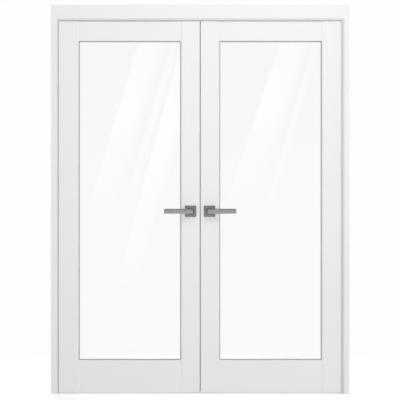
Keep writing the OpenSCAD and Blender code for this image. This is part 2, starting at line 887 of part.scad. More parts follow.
module grub_screws(side) {
    color(STEEL) on(side) for (face = ["front", "back"]) at_spindle(face)
        translate([0, -grub_y, -spindle_w / 2 - fit_play - grub_l])
            cylinder(h = grub_l, r = grub_r);
}

// ---- hubs and bolts ----------------------------------------------------------------

// the hub, with its arm turned by angle from straight up towards the hinge side
module hub(side) {
    angle = side == LEFT ? 90 - half_swing : -half_swing;
    color(STEEL) on(side) translate([spindle_x, 0, lever_z]) difference() {
        union() {
            y_rod(hub_r, -case_t / 2 + case_wall + slip, case_t / 2 - case_wall - slip);
            y_rod(boss_r, -case_t / 2, case_t / 2);
            rotate([0, angle, 0]) {
                span([-arm_w / 2, -arm_t / 2, boss_r], [arm_w / 2, arm_t / 2, arm_r]);
                translate([0, 0, arm_r]) y_rod(nose_r, -arm_t / 2, arm_t / 2);
            }
        }
        span([-spindle_w / 2 - fit_play, -case_t / 2 - cut, -spindle_w / 2 - fit_play],
             [spindle_w / 2 + fit_play, case_t / 2 + cut, spindle_w / 2 + fit_play]);
    }
}

// the bevelled latch, with a slot in its tail for the arm's nose
module latch_bolt() {
    tail = latch_t / 2;
    bevel_l = latch_out - meeting_gap / 2;
    color(STEEL) difference() {
        translate([0, 0, lever_z + latch_z0]) linear_extrude(latch_h) polygon([
            [latch_x0, tail], [latch_x0, tail - latch_flat], [latch_x0 + bevel_l, -tail],
            [latch_x1, -tail], [latch_x1, tail]
        ]);
        span([latch_pin_x - fork_half, -tail - cut, lever_z + latch_z0 - cut],
             [latch_pin_x + fork_half, tail + cut, lever_z + fork_deep]);
    }
}

// the rod, and a carriage that reaches over the hub to a fork on the arm's nose
module top_bolt() {
    color(STEEL) on(LEFT) {
        translate([rod_x, 0, lever_z + bridge_z0])
            cylinder(h = leaf_z1 + top_bolt_out - lever_z - bridge_z0, r = rod_r);
        difference() {
            slab([
                [bridge_x0, lever_z + bridge_z0],
                [fork_x1 - fork_wall, lever_z + bridge_z0],
                [fork_x1 - fork_wall, lever_z + fork_z + fork_half + fork_wall],
                [spindle_x + fork_mouth, lever_z + fork_z + fork_half + fork_wall],
                [spindle_x + fork_mouth, lever_z + fork_z - fork_half - fork_wall],
                [fork_x1, lever_z + fork_z - fork_half - fork_wall],
                [fork_x1, lever_z + bridge_z0 + bridge_h],
                [bridge_x0, lever_z + bridge_z0 + bridge_h]
            ], -arm_t / 2, arm_t / 2);
            span([spindle_x, -arm_t, lever_z + fork_z - fork_half],
                 [spindle_x + fork_deep, arm_t, lever_z + fork_z + fork_half]);
        }
    }
}

// ---- nodes -------------------------------------------------------------------------

jamb(LEFT);  // left_jamb
jamb(RIGHT);  // right_jamb
head_jamb();
stop(LEFT);  // left_stop
stop(RIGHT);  // right_stop
head_stop();
stop_seal(LEFT);  // left_stop_seal
stop_seal(RIGHT);  // right_stop_seal
head_stop_seal();
frame_hinge_leaves(LEFT);  // left_frame_hinge_leaves
frame_hinge_leaves(RIGHT);  // right_frame_hinge_leaves
hinge_pins();
frame_screws();
bolt_keeper();
frame_corner_screws();

hinge_stile(LEFT);  // left_hinge_stile
lock_stile(LEFT);  // left_lock_stile
top_rail(LEFT);  // left_top_rail
bottom_rail(LEFT);  // left_bottom_rail
glass(LEFT);  // left_glass
glazing_seals(LEFT);  // left_glazing_seals
glazing_beads(LEFT);  // left_glazing_beads
door_hinge_leaves(LEFT);  // left_door_hinge_leaves
hinge_screws(LEFT);  // left_hinge_screws
rosette(LEFT, "front");  // left_front_rosette
rosette(LEFT, "back");  // left_back_rosette
rosette_bolts(LEFT);  // left_rosette_bolts
lock_case(LEFT);  // left_bolt_case
faceplate(LEFT);  // left_faceplate
faceplate_screws(LEFT);  // left_faceplate_screws
meeting_seal(LEFT);  // left_meeting_seal

hinge_stile(RIGHT);  // right_hinge_stile
lock_stile(RIGHT);  // right_lock_stile
top_rail(RIGHT);  // right_top_rail
bottom_rail(RIGHT);  // right_bottom_rail
glass(RIGHT);  // right_glass
glazing_seals(RIGHT);  // right_glazing_seals
glazing_beads(RIGHT);  // right_glazing_beads
door_hinge_leaves(RIGHT);  // right_door_hinge_leaves
hinge_screws(RIGHT);  // right_hinge_screws
rosette(RIGHT, "front");  // right_front_rosette
rosette(RIGHT, "back");  // right_back_rosette
rosette_bolts(RIGHT);  // right_rosette_bolts
lock_case(RIGHT);  // right_latch_case
faceplate(RIGHT);  // right_faceplate
faceplate_screws(RIGHT);  // right_faceplate_screws
meeting_seal(RIGHT);  // right_meeting_seal

lever(LEFT, "front");  // left_front_lever
lever(LEFT, "back");  // left_back_lever
spindle(LEFT);  // left_spindle
hub(LEFT);  // left_hub
grub_screws(LEFT);  // left_grub_screws
lever(RIGHT, "front");  // right_front_lever
lever(RIGHT, "back");  // right_back_lever
spindle(RIGHT);  // right_spindle
hub(RIGHT);  // right_hub
grub_screws(RIGHT);  // right_grub_screws
top_bolt();  // left_top_bolt
latch_bolt();  // right_latch_bolt
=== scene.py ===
# %% [markdown]
# # A pair of french doors in their own frame
#
# The joiner's model is loaded first and stays as it is: jambs, stiles, rails, glass, hinges and
# locks. What this lesson adds is what the eye needs and a joiner's drawing leaves out: paint,
# glass, plated metal, soft edges on the handles, round gaskets, the pins of the glazing beads,
# and a pale studio to stand the doors in.

import json
import math

import bmesh
import bpy
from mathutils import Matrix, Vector


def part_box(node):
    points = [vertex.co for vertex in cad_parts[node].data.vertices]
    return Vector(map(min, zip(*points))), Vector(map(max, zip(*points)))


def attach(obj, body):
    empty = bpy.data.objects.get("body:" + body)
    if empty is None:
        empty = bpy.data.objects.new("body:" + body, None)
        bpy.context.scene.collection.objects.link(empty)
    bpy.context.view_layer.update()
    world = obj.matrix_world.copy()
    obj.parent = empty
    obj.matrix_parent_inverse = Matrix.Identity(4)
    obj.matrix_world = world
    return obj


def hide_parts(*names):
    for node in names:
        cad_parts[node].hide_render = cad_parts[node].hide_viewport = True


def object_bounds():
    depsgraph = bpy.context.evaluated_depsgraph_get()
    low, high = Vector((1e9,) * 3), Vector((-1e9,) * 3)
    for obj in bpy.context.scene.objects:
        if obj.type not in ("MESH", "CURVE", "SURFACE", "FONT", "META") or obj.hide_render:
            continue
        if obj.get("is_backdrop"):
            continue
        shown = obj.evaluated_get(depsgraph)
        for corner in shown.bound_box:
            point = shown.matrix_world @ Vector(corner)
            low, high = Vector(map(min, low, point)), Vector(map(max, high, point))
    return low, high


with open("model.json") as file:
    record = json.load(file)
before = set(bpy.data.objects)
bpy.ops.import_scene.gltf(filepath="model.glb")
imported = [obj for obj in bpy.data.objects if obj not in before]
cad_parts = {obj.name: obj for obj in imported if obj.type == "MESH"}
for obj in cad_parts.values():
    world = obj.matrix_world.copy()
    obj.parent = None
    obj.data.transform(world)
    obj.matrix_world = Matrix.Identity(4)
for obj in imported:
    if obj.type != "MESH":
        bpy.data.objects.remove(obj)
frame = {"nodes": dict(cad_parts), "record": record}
cad_low, cad_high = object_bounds()
nodes = frame["nodes"]
bodies = frame["record"]["behaviour"]["bodies"]
body_of = {node: body for body, members in bodies.items() for node in members}
slot_of = {part["node"]: part["material_slot"] for part in frame["record"]["subparts"]}
scene = bpy.context.scene
MM = 0.001

size = cad_high - cad_low
print(f"{len(nodes)} nodes on {len(bodies)} bodies, {size.x:.3f} x {size.y:.3f} x {size.z:.3f} m")

# %% [markdown]
# ## The camera
#
# A door is shown best from straight in front, with the camera level and at half its height, so
# that every edge stays upright. A long lens from several metres away keeps the two jambs nearly
# parallel to the view. The lens could be typed in as a number, but it is worked out instead from
# how wide the picture should be at the front of the frame, so the doors fill the picture by the
# same share if their size changes.

# %% Place the camera
front_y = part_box("left_jamb")[0].y
camera_distance = 7.0
camera_height = 0.4985 * size.z    # a hair under half the height
camera_aside = -1 * MM             # and a hair to the left of the middle
view_width = 1.0277 * size.z       # a little more than the height, for a thin margin

camera_data = bpy.data.cameras.new("camera")
camera_data.lens = camera_data.sensor_width * camera_distance / view_width
camera = bpy.data.objects.new("camera", camera_data)
camera.location = (camera_aside, front_y - camera_distance, camera_height)
camera.rotation_euler = (math.radians(90), 0, 0)
scene.collection.objects.link(camera)
scene.camera = camera
scene.view_settings.view_transform = "Standard"
print(f"lens {camera_data.lens:.0f} mm, {camera_distance} m away, {camera_height:.3f} m up")

# %% [markdown]
# ## Helpers for colours and nodes
#
# Paint charts give colours as sRGB hex values, but Cycles works with linear light, so one
# function turns the one into the other. A second function adds a node with its settings and its
# links in one call, which keeps each material short enough to read as a recipe.

# %% Turn hex colours to linear light
def linear(hex_colour):
    """A colour such as "#E8E8E6" as linear red, green, blue and alpha."""
    channels = [int(hex_colour[i:i + 2], 16) / 255 for i in (1, 3, 5)]
    return [c / 12.92 if c <= 0.04045 else ((c + 0.055) / 1.055) ** 2.4 for c in channels] + [1.0]


# %% Add a node with its settings and links
def add(tree, kind, inputs=None, **settings):
    """A new node. inputs gives a socket, by name or number, a value or another node's output."""
    node = tree.nodes.new(kind)
    for name, value in settings.items():
        setattr(node, name, value)
    for key, value in (inputs or {}).items():
        if isinstance(value, bpy.types.NodeSocket):
            tree.links.new(value, node.inputs[key])
        else:
            node.inputs[key].default_value = value
    return node


# %% Start a material
def new_material(name):
    """An empty material, its node tree and the place of a point on its object."""
    material = bpy.data.materials.new(name)
    material.use_nodes = True
    tree = material.node_tree
    tree.nodes.clear()
    place = add(tree, "ShaderNodeTexCoord").outputs["Object"]
    return material, tree, place


def finish_material(tree, shader):
    add(tree, "ShaderNodeOutputMaterial", {"Surface": shader.outputs[0]})


# %% [markdown]
# ## Sprayed satin enamel on timber
#
# The doors are timber with a white waterborne enamel, sprayed and left satin. Up close such a
# film is never quite flat: it has a fine orange peel from the spray gun, and the grain under it
# shows through as very shallow streaks along each piece. A flat colour would look like plastic.
# Two noises make both: a round one for the orange peel and one stretched along the timber for the
# grain. Grain runs up the stiles and along the rails, so the recipe takes a direction. The narrow
# stops are painted greyer than the rest, as painted shade for the shade of the jambs they sit in.
# Real orange peel is about 2 mm across, which is finer than the picture, so it is drawn at 6 mm.

# %% Mix the enamel
def satin_enamel(name, along, dark="#EAEAEA", pale="#EDEDED"):
    """Paint between two near shades, over timber whose grain runs along x, y or z."""
    material, tree, place = new_material(name)
    grain_across, grain_along = 7 * MM, 260 * MM
    stretch = [1 / grain_along if axis == along else 1 / grain_across for axis in "xyz"]
    peel_size = 6 * MM
    cloud_size = 350 * MM

    streaks = add(tree, "ShaderNodeVectorMath", {0: place, 1: stretch}, operation="MULTIPLY")
    grain = add(tree, "ShaderNodeTexNoise",
                {"Vector": streaks.outputs[0], "Scale": 1.0, "Detail": 3.0, "Roughness": 0.55})
    peel = add(tree, "ShaderNodeTexNoise", {"Vector": place, "Scale": 1 / peel_size, "Detail": 1.0})
    cloud = add(tree, "ShaderNodeTexNoise", {"Vector": place, "Scale": 1 / cloud_size, "Detail": 2.0})

    colour = add(tree, "ShaderNodeMix",
                 {"Factor": cloud.outputs["Fac"], "A": linear(dark), "B": linear(pale)},
                 data_type="RGBA")
    sheen = add(tree, "ShaderNodeMapRange",
                {"Value": grain.outputs["Fac"], "To Min": 0.36, "To Max": 0.46})
    rough = add(tree, "ShaderNodeBump",
                {"Height": grain.outputs["Fac"], "Strength": 0.10, "Distance": 0.15 * MM})
    film = add(tree, "ShaderNodeBump",
               {"Height": peel.outputs["Fac"], "Strength": 0.06, "Distance": 0.12 * MM,
                "Normal": rough.outputs[0]})
    shader = add(tree, "ShaderNodeBsdfPrincipled",
                 {"Base Color": colour.outputs["Result"], "Roughness": sheen.outputs[0],
                  "IOR": 1.5, "Normal": film.outputs[0]})
    finish_material(tree, shader)
    return material


upright_enamel = satin_enamel("satin_enamel_upright", "z")
level_enamel = satin_enamel("satin_enamel_level", "x")
# the stops' greyer tones are painted shade, for the shade the jambs cast on them
stop_enamel_painted_shade = satin_enamel("satin_enamel_stops_painted_shade", "z", "#D2D2D2", "#D6D6D6")
print("mixed", upright_enamel.name, level_enamel.name, stop_enamel_painted_shade.name)

# %% [markdown]
# ## Clear float glass
#
# The panes are one sheet of 6 mm float glass. It is clear, but the little iron in it takes away
# some red, so what stands behind it looks very slightly cool and a touch darker. Float glass is
# also not perfectly flat: its rollers leave long, shallow waves that make reflections swim a
# little. One stretched noise, far too shallow to see by itself, bends the reflections.

# %% Cast the glass
def float_glass():
    material, tree, place = new_material("float_glass")
    wave_across, wave_along = 180 * MM, 900 * MM
    stretch = [1 / wave_across, 1 / wave_across, 1 / wave_along]
    waves = add(tree, "ShaderNodeVectorMath", {0: place, 1: stretch}, operation="MULTIPLY")
    roller = add(tree, "ShaderNodeTexNoise", {"Vector": waves.outputs[0], "Scale": 1.0, "Detail": 1.0})
    wavy = add(tree, "ShaderNodeBump",
               {"Height": roller.outputs["Fac"], "Strength": 0.05, "Distance": 0.3 * MM})
    shader = add(tree, "ShaderNodeBsdfPrincipled",
                 {"Base Color": linear("#F9FAFC"), "Roughness": 0.0, "IOR": 1.52,
                  "Transmission Weight": 1.0, "Normal": wavy.outputs[0]})
    finish_material(tree, shader)
    return material


glass = float_glass()
print("cast", glass.name)

# %% [markdown]
# ## Satin nickel, stainless steel and zinc plate
#
# The levers and rosettes are die-cast zinc, plated with nickel and brushed along their length.
# The brushing leaves scratches a tenth of a millimetre wide, which spread each reflection into a
# soft band, so the metal shows light and dark stripes instead of a mirror image. Hinges are
# brushed stainless steel, a little greyer. The lock cases and rods are plain steel with zinc
# plate, whose crystals give it patches of lighter and darker grey. One recipe covers all three,
# because they differ only in tone, in sheen and in how long their marks are. The rosettes get a
# darker copy of the levers' nickel, as painted shade: it stands for the lever's shadow and the
# darker things they reflect. The scratches are drawn 0.8 mm wide, since real ones would vanish.

# %% Plate the metals
def worked_metal(name, tone, mark, mark_ratio, sheen):
    """A metal whose marks are mark metres wide and mark_ratio times as long, along x."""
    material, tree, place = new_material(name)
    stretch = [1 / (mark * mark_ratio), 1 / mark, 1 / mark]
    along = add(tree, "ShaderNodeVectorMath", {0: place, 1: stretch}, operation="MULTIPLY")
    marks = add(tree, "ShaderNodeTexNoise",
                {"Vector": along.outputs[0], "Scale": 1.0, "Detail": 2.0, "Roughness": 0.6})
    colour = add(tree, "ShaderNodeMix",
                 {"Factor": marks.outputs["Fac"], "A": linear(tone[0]), "B": linear(tone[1])},
                 data_type="RGBA")
    spread = add(tree, "ShaderNodeMapRange",
                 {"Value": marks.outputs["Fac"], "To Min": sheen[0], "To Max": sheen[1]})
    scratch = add(tree, "ShaderNodeBump",
                  {"Height": marks.outputs["Fac"], "Strength": 0.12, "Distance": 0.05 * MM})
    shader = add(tree, "ShaderNodeBsdfPrincipled",
                 {"Base Color": colour.outputs["Result"], "Metallic": 1.0,
                  "Roughness": spread.outputs[0], "Normal": scratch.outputs[0]})
    finish_material(tree, shader)
    return material


satin_nickel = worked_metal("satin_nickel", ("#989898", "#AEAEAE"), 0.8 * MM, 25, (0.24, 0.34))
# the rosettes' darker nickel is painted shade, for the lever's shadow and darker reflections
rosette_nickel_painted_shade = worked_metal("satin_nickel_painted_shade", ("#7E7E7E", "#929292"), 0.8 * MM, 25, (0.20, 0.30))
stainless = worked_metal("brushed_stainless", ("#A9A9A7", "#BBBBB9"), 0.8 * MM, 18, (0.30, 0.42))
zinc_plate = worked_metal("zinc_plate", ("#A3A6A8", "#C2C4C3"), 5 * MM, 1.4, (0.34, 0.50))
print("plated", satin_nickel.name, rosette_nickel_painted_shade.name, stainless.name, zinc_plate.name)

# %% [markdown]
# ## Grey sealing rubber
#
# The seals are an extruded thermoplastic rubber in light grey. Its surface is dull and slightly
# powdery, with faint lines along it from the die. It needs almost no gloss, and a low sheen takes
# the hard edge off it where it turns away. The glazing seals are a darker grade, which draws a
# thin line round each pane.

# %% Extrude the rubber
def sealing_rubber(name, dark, pale):
    material, tree, place = new_material(name)
    speck_size = 1.5 * MM
    specks = add(tree, "ShaderNodeTexNoise", {"Vector": place, "Scale": 1 / speck_size, "Detail": 2.0})
    colour = add(tree, "ShaderNodeMix",
                 {"Factor": specks.outputs["Fac"], "A": linear(dark), "B": linear(pale)},
                 data_type="RGBA")
    skin = add(tree, "ShaderNodeBump",
               {"Height": specks.outputs["Fac"], "Strength": 0.1, "Distance": 0.05 * MM})
    shader = add(tree, "ShaderNodeBsdfPrincipled",
                 {"Base Color": colour.outputs["Result"], "Roughness": 0.75, "IOR": 1.48,
                  "Sheen Weight": 0.15, "Normal": skin.outputs[0]})
    finish_material(tree, shader)
    return material


rubber = sealing_rubber("sealing_rubber", "#B4B4B3", "#C0C0BF")
glazing_rubber = sealing_rubber("glazing_rubber", "#8E8E8D", "#989897")
print("extruded", rubber.name, glazing_rubber.name)

# %% [markdown]
# ## Give each part its finish
#
# The record names a finish for each part, so the parts are painted from that list. Enamelled
# pieces that lie level take the paint whose grain runs along x. The stops and rosettes take a
# darker paint of their own, as painted shade, and the glazing seals a darker rubber. The stops
# share one paint, level or upright, because grain doesn't show on a strip that narrow.

# %% Assign the finishes
FINISHES = {
    "white_paint": upright_enamel, "clear_glass": glass, "seal_rubber": rubber,
    "satin_nickel": satin_nickel, "hinge_steel": stainless, "plated_steel": zinc_plate,
}
LEVEL_PARTS = ("head_jamb", "top_rail", "bottom_rail")
# stops and rosettes get painted shade; the glazing seals are a darker rubber
SPECIAL_PARTS = {"_stop": stop_enamel_painted_shade, "_glazing_seals": glazing_rubber, "_rosette": rosette_nickel_painted_shade}


def finish_of(node):
    material = FINISHES[slot_of[node]]
    for ending, special in SPECIAL_PARTS.items():
        if node.endswith(ending):
            return special
    if material is upright_enamel and node.endswith(LEVEL_PARTS):
        return level_enamel
    return material


def wear(piece, material):
    piece.data.materials.clear()
    piece.data.materials.append(material)


for name, part in nodes.items():
    wear(part, finish_of(name))
print({slot: sum(s == slot for s in slot_of.values()) for slot in FINISHES})

# %% [markdown]
# ## Soft edges on levers and rosettes
#
# The joiner's model has plain chamfers on the handles. Real ones are polished after casting, so
# no edge is sharp, and each edge catches a thin line of light. The handles could be modelled again
# from nothing, but a copy of the model with its edges rounded keeps every size. The copy is merged
# and its flat faces joined first, so that only true edges are left for the Bevel modifier.

# %% Round the handles
def add_piece(name, mesh):
    piece = bpy.data.objects.new(name, mesh)
    scene.collection.objects.link(piece)
    return piece


def apply_modifiers(piece):
    """Turns what the modifiers show into a plain mesh."""
    view = bpy.context.evaluated_depsgraph_get()
    mesh = bpy.data.meshes.new_from_object(piece.evaluated_get(view))
    piece.modifiers.clear()
    piece.data = mesh
    mesh.name = piece.name


WELD_GAP = 0.005 * MM                # corners nearer than this are one corner
FLAT_ANGLE = math.radians(1)         # faces that turn by less than this are one flat face
EDGE_ANGLE = math.radians(20)        # edges that turn by more than this are rounded
CREASE_ANGLE = math.radians(35)      # edges that turn by more than this stay crisp


def rounded(node, radius):
    """A copy of a part with its edges rounded, which stands for that part."""
    mesh = nodes[node].data.copy()
    shape = bmesh.new()
    shape.from_mesh(mesh)
    bmesh.ops.remove_doubles(shape, verts=shape.verts, dist=WELD_GAP)
    bmesh.ops.dissolve_limit(shape, angle_limit=FLAT_ANGLE, verts=shape.verts, edges=shape.edges)
    shape.to_mesh(mesh)
    shape.free()
    piece = add_piece(f"{node}_rounded", mesh)
    bevel = piece.modifiers.new("rounding", "BEVEL")
    bevel.width = radius
    bevel.segments = 3
    bevel.limit_method = "ANGLE"
    bevel.angle_limit = EDGE_ANGLE
    apply_modifiers(piece)
    piece.data.shade_smooth()
    piece.data.set_sharp_from_angle(angle=CREASE_ANGLE)
    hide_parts(node)
    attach(piece, body_of[node])
    return piece


EDGE_RADIUS = {"lever": 0.9 * MM, "rosette": 0.5 * MM}
for side in ("left", "right"):
    for face in ("front", "back"):
        for kind, radius in EDGE_RADIUS.items():
            piece = rounded(f"{side}_{face}_{kind}", radius)
            print(piece.name, len(piece.data.polygons), "faces")

# %% [markdown]
# ## Round gaskets on the stops and meeting edges
#
# The seals come off a roll and are round where they show. Those of the stops are stuck along the
# stops' inner edges, and those of the meeting edges are pushed into grooves. A gasket follows a
# path and has the same section all along it, which is what Curve to Mesh does, so one small node
# tree makes all five from a path and a radius. The ends are capped, because a real one is cut
# through.

# %% Build the gasket tree
def new_tree(name, sockets):
    """An empty geometry tree, its input node and the identifiers of its named inputs."""
    tree = bpy.data.node_groups.new(name, "GeometryNodeTree")
    tree.interface.new_socket("Path", in_out="INPUT", socket_type="NodeSocketGeometry")
    keys = {}
    for label, kind in sockets.items():
        made = tree.interface.new_socket(label, in_out="INPUT", socket_type=f"NodeSocket{kind}")
        keys[label] = made.identifier
    tree.interface.new_socket("Geometry", in_out="OUTPUT", socket_type="NodeSocketGeometry")
    return tree, add(tree, "NodeGroupInput").outputs, keys


def end_tree(tree, shape, material):
    """Ends a tree in real faces that wear the material."""
    real = add(tree, "GeometryNodeRealizeInstances", {"Geometry": shape})
    dressed = add(tree, "GeometryNodeSetMaterial",
                  {"Geometry": real.outputs[0], "Material": material})
    add(tree, "NodeGroupOutput", {"Geometry": dressed.outputs[0]})


GASKET_SIDES = 20
gasket_tree, given, gasket_keys = new_tree("gasket", {"Radius": "Float", "Material": "Material"})
line = add(gasket_tree, "GeometryNodeMeshToCurve", {"Mesh": given["Path"]})
section = add(gasket_tree, "GeometryNodeCurvePrimitiveCircle",
              {"Resolution": GASKET_SIDES, "Radius": given["Radius"]})
swept = add(gasket_tree, "GeometryNodeCurveToMesh",
            {"Curve": line.outputs[0], "Profile Curve": section.outputs[0], "Fill Caps": True})
end_tree(gasket_tree, swept.outputs[0], given["Material"])
print("gasket tree:", len(gasket_tree.nodes), "nodes")


# %% Run the trees along their paths
RIM_ANGLE = math.radians(40)         # edges that turn by more than this, such as a cut end, stay crisp


def along_path(name, lines, tree, keys, settings, body):
    """A piece that a tree makes along straight lines, each given by its two ends."""
    points = [point for ends in lines for point in ends]
    edges = [(i, i + 1) for i in range(0, len(points), 2)]
    mesh = bpy.data.meshes.new(name)
    mesh.from_pydata(points, edges, [])
    piece = add_piece(name, mesh)
    modifier = piece.modifiers.new(tree.name, "NODES")
    modifier.node_group = tree
    for label, value in settings.items():
        modifier[keys[label]] = value
    apply_modifiers(piece)
    piece.data.shade_smooth()
    piece.data.set_sharp_from_angle(angle=RIM_ANGLE)
    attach(piece, body)
    print(name, len(piece.data.polygons), "faces")
    return piece


def gasket(node, ends, radius):
    piece = along_path(f"{node}_gasket", [ends], gasket_tree, gasket_keys,
                       {"Radius": radius, "Material": rubber}, body_of[node])
    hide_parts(node)


for side in ("left", "right"):
    low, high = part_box(f"{side}_stop_seal")
    radius = (high.x - low.x) / 2
    middle_x, middle_y = (low.x + high.x) / 2, high.y - radius
    gasket(f"{side}_stop_seal", [(middle_x, middle_y, low.z), (middle_x, middle_y, high.z)], radius)

    low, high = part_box(f"{side}_meeting_seal")
    radius = (high.y - low.y) / 2
    middle_x = low.x + radius if side == "right" else high.x - radius
    middle_y = (low.y + high.y) / 2
    gasket(f"{side}_meeting_seal", [(middle_x, middle_y, low.z), (middle_x, middle_y, high.z)], radius)

low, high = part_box("head_stop_seal")
radius = (high.z - low.z) / 2
inner_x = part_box("right_stop_seal")[0].x
middle_y, middle_z = high.y - radius, (low.z + high.z) / 2
gasket("head_stop_seal", [(-inner_x, middle_y, middle_z), (inner_x, middle_y, middle_z)], radius)

# %% [markdown]
# ## Pins of the glazing beads
#
# Behind the glass, four mitred beads hold it in each leaf, and small round-headed steel pins hold
# the beads. They stand in a row along the flat of each bead, about 160 mm apart and never on a
# mitre. What repeats at an even step along a line is made by Resample Curve and Instance on
# Points. The head is a sphere pressed flat, half of it in the wood.

# %% Build the pin tree
pin_tree, given, pin_keys = new_tree(
    "pins", {"Pitch": "Float", "Head radius": "Float", "Flatness": "Float", "Material": "Material"})
line = add(pin_tree, "GeometryNodeMeshToCurve", {"Mesh": given["Path"]})
spots = add(pin_tree, "GeometryNodeResampleCurve",
            {"Curve": line.outputs[0], "Length": given["Pitch"]}, mode="LENGTH")
ball = add(pin_tree, "GeometryNodeMeshUVSphere",
           {"Segments": 12, "Rings": 8, "Radius": given["Head radius"]})
press = add(pin_tree, "ShaderNodeCombineXYZ", {"X": 1.0, "Y": given["Flatness"], "Z": 1.0})
head = add(pin_tree, "GeometryNodeTransform",
           {"Geometry": ball.outputs["Mesh"], "Scale": press.outputs[0]})
rows = add(pin_tree, "GeometryNodeInstanceOnPoints",
           {"Points": spots.outputs[0], "Instance": head.outputs[0]})
end_tree(pin_tree, rows.outputs[0], given["Material"])
print("pin tree:", len(pin_tree.nodes), "nodes")

# %% Drive the pins
pin_inset = 3.8 * MM                 # from the outer edge of the bead
corner_inset = 70 * MM               # from the row of the next bead
pin_pitch = 160 * MM
pin_radius = 1.8 * MM
pin_flatness = 0.35                  # thickness of the pressed head, as a share of its width
for side in ("left", "right"):
    node = f"{side}_glazing_beads"
    low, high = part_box(node)
    x0, x1, z0, z1 = low.x + pin_inset, high.x - pin_inset, low.z + pin_inset, high.z - pin_inset
    lines = [
        ((x0, high.y, z0 + corner_inset), (x0, high.y, z1 - corner_inset)),
        ((x1, high.y, z0 + corner_inset), (x1, high.y, z1 - corner_inset)),
        ((x0 + corner_inset, high.y, z0), (x1 - corner_inset, high.y, z0)),
        ((x0 + corner_inset, high.y, z1), (x1 - corner_inset, high.y, z1)),
    ]
    along_path(f"{side}_bead_pins", lines, pin_tree, pin_keys,
               {"Pitch": pin_pitch, "Head radius": pin_radius, "Flatness": pin_flatness,
                "Material": stainless}, body_of[node])

# %% [markdown]
# ## A pale studio
#
# White doors on a white ground need gentle light: enough difference between one side and the other
# to show each edge, and no hard shadow. Light that comes from every side would fill the shallow
# steps of the frame with a grey haze, so most of it comes from two large softboxes in front: one
# high on the right and close, which makes the top right corner the lightest, and one farther away
# that fills the rest. A third one lights the back. A dim sky, brighter in a low band at the
# horizon, keeps every other face from going dark. What the camera sees behind the doors is
# kept plain white and apart from what lights them: a Light Path node tells a ray from the camera,
# or one that came through the glass, from the rays that gather light.

# %% Light the room
SKY_LEVEL = 0.37
SKY_SLOPE = (0.10, -0.06, 0.10)      # how much brighter towards +x, +y and +z
HORIZON_GLOW = 0.50                  # how much brighter at the horizon
HORIZON_TOP = 0.15                   # where that ends, as the height of a direction of length 1
GROUND_LEVEL = 0.99                  # of the white behind the doors
world = bpy.data.worlds.new("studio")
world.use_nodes = True
scene.world = world
sky = world.node_tree
sky.nodes.clear()
path = add(sky, "ShaderNodeLightPath").outputs
seen = add(sky, "ShaderNodeMath", {0: path["Is Camera Ray"], 1: path["Is Transmission Ray"]},
           operation="MAXIMUM")
direction = add(sky, "ShaderNodeTexCoord").outputs["Generated"]
slope = add(sky, "ShaderNodeVectorMath", {0: direction, 1: SKY_SLOPE}, operation="DOT_PRODUCT")
height = add(sky, "ShaderNodeSeparateXYZ", {0: direction}).outputs["Z"]
glow = add(sky, "ShaderNodeMapRange",
           {"Value": height, "From Min": 0.0, "From Max": HORIZON_TOP,
            "To Min": SKY_LEVEL + HORIZON_GLOW, "To Max": SKY_LEVEL}, interpolation_type="SMOOTHSTEP")
level = add(sky, "ShaderNodeMath", {0: slope.outputs["Value"], 1: glow.outputs[0]}, operation="ADD")
soft_sky = add(sky, "ShaderNodeBackground", {"Color": (1, 1, 1, 1), "Strength": level.outputs[0]})
white_ground = add(sky, "ShaderNodeBackground", {"Color": (1, 1, 1, 1), "Strength": GROUND_LEVEL})
both = add(sky, "ShaderNodeMixShader",
           {0: seen.outputs[0], 1: soft_sky.outputs[0], 2: white_ground.outputs[0]})
add(sky, "ShaderNodeOutputWorld", {"Surface": both.outputs[0]})


def softbox(name, place, target, side, watts):
    """A square light that mirrors and glass don't show."""
    lamp = bpy.data.lights.new(name, "AREA")
    lamp.shape = "SQUARE"
    lamp.size = side
    lamp.energy = watts
    holder = bpy.data.objects.new(name, lamp)
    holder.location = place
    holder.rotation_euler = (Vector(target) - Vector(place)).to_track_quat("-Z", "Y").to_euler()
    for ray in ("camera", "transmission", "glossy"):
        setattr(holder, f"visible_{ray}", False)
    scene.collection.objects.link(holder)
    return holder


# name, place, what it is turned to, side in metres and power in watts
softbox("key_softbox", (0.6, -2.8, 3.1), (0.2, 0, 1.5), 1.2, 24)
softbox("fill_softbox", (0.9, -6.0, 0.7), (0, 0, 0.8), 2.6, 153)
softbox("back_softbox", (-2.0, 5.0, 2.8), (0, 0, 1.1), 2.2, 95)
print("sky level", SKY_LEVEL, "slope", SKY_SLOPE)

# %% [markdown]
# ## The floor
#
# The doors stand on a pale floor that has no far edge. Near the feet it is a real surface that
# takes a contact shadow, darkest in the gap under the leaves. Farther out it fades to the same
# white as the ground behind, so no horizon crosses the picture or shows through the glass. Two
# lamps of its own, one before and one behind the doors, make it white: light linking lets them
# reach the floor and nothing else, and the doors still throw their shadow. A white floor would
# throw much light up and make every underside pale, so to the rays that gather soft light it is
# a duller floor.

# %% Lay the floor
FADE_FROM, FADE_TO = 0.9, 2.0        # metres from the middle of the doors
FLOOR_BOUNCE = 0.54                  # soft light from the floor, as a share of white
floor_radius = 30.0
floor_sides = 96
floor_shape = bmesh.new()
bmesh.ops.create_circle(floor_shape, cap_ends=True, segments=floor_sides, radius=floor_radius)
floor_mesh = bpy.data.meshes.new("floor")
floor_shape.to_mesh(floor_mesh)
floor_shape.free()
floor = add_piece("floor", floor_mesh)

